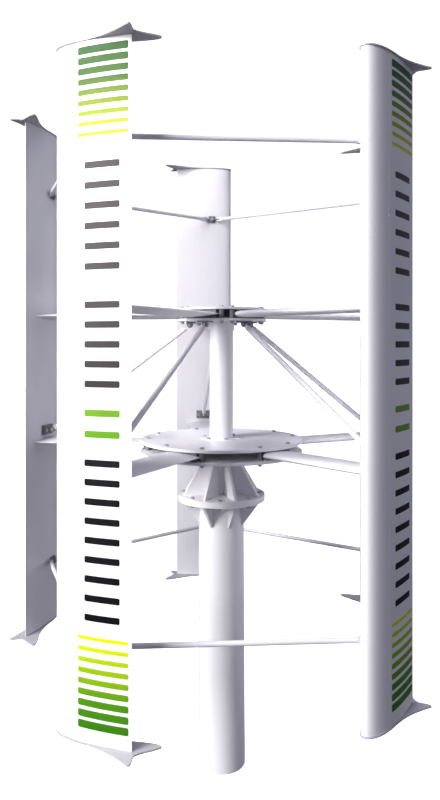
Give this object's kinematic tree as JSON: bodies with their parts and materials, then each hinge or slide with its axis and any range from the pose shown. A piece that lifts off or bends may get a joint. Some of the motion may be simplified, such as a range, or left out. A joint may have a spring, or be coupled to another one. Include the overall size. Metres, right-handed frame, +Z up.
{
  "type": "small wind turbine",
  "caption": "Vertical-axis wind turbine: upright airfoil blades on arms, struts and tie rods turn with a central shaft on a bearing neck above a short tubular mast.",
  "frame": {"origin": "centre of the mast foot, on the rotor axis", "axes": "+Z up along the mast and rotor axis; +Y from the axis toward blade_1 at rest; +X completes a right-handed set"},
  "size_m": [3.9452, 3.8367, 6.157],
  "materials": {
    "blade_shell": "satin white gelcoat on glass fibre",
    "end_plate": "satin light grey gelcoat on glass fibre",
    "arm_coat": "white powder coat on extruded aluminium",
    "strut_coat": "white powder coat on drawn aluminium tube",
    "tie_coat": "off-white powder coat on aluminium tube",
    "hub_coat": "white powder coat on aluminium plate",
    "fitting_coat": "grey powder coat on machined aluminium",
    "shaft_coat": "white paint on steel tube",
    "mast_coat": "white paint on welded steel",
    "cover_coat": "grey paint on turned steel",
    "bare_steel": "turned steel, lightly oiled",
    "zinc_fastener": "zinc plated steel",
    "bearing_steel": "ground and polished bearing steel",
    "core_steel": "stacked steel sheet and ductile iron",
    "winding_copper": "enamelled copper wire",
    "magnet_nickel": "nickel plated magnet blocks",
    "graphic_green": "printed film, green to yellow",
    "graphic_ink": "printed film, dark grey"
  },
  "bodies": {
    "mast": {"mast_tube": "mast_coat", "mast_head": "mast_coat", "neck_housing": "mast_coat", "neck_cover": "cover_coat", "flange_bolts": "zinc_fastener", "bearing_outer_rings": "bearing_steel", "bearing_balls": "bearing_steel", "generator_carrier": "bare_steel", "stator_core": "core_steel", "stator_windings": "winding_copper"},
    "rotor": {"blade_1": "blade_shell", "blade_2": "blade_shell", "blade_3": "blade_shell", "blade_4": "blade_shell", "blade_5": "blade_shell", "top_end_plate_1": "end_plate", "top_end_plate_2": "end_plate", "top_end_plate_3": "end_plate", "top_end_plate_4": "end_plate", "top_end_plate_5": "end_plate", "bottom_end_plate_1": "end_plate", "bottom_end_plate_2": "end_plate", "bottom_end_plate_3": "end_plate", "bottom_end_plate_4": "end_plate", "bottom_end_plate_5": "end_plate", "upper_arm_1": "arm_coat", "upper_arm_2": "arm_coat", "upper_arm_3": "arm_coat", "upper_arm_4": "arm_coat", "upper_arm_5": "arm_coat", "lower_arm_1": "arm_coat", "lower_arm_2": "arm_coat", "lower_arm_3": "arm_coat", "lower_arm_4": "arm_coat", "lower_arm_5": "arm_coat", "diagonal_strut_1": "strut_coat", "diagonal_strut_2": "strut_coat", "diagonal_strut_3": "strut_coat", "diagonal_strut_4": "strut_coat", "diagonal_strut_5": "strut_coat", "upper_tie_rods": "tie_coat", "lower_tie_rods": "tie_coat", "upper_hub_top_disc": "hub_coat", "upper_hub_bottom_disc": "hub_coat", "lower_hub_top_disc": "hub_coat", "lower_hub_bottom_disc": "hub_coat", "arm_root_fittings": "fitting_coat", "hub_spacers": "fitting_coat", "hub_core": "hub_coat", "strut_hub_lugs": "fitting_coat", "strut_brackets": "fitting_coat", "tie_brackets": "fitting_coat", "main_shaft": "shaft_coat", "spindle": "bare_steel", "hub_bolts": "zinc_fastener", "core_bolts": "zinc_fastener", "bracket_pins": "zinc_fastener", "bearing_inner_rings": "bearing_steel", "generator_rotor": "core_steel", "rotor_magnets": "magnet_nickel"}
  },
  "joints": [
    {"name": "rotor_spin", "type": "hinge", "parent": "mast", "child": "rotor", "pos_m": [0, 0, 2.7], "axis": [0, 0, 1], "continuous": true}
  ]
}
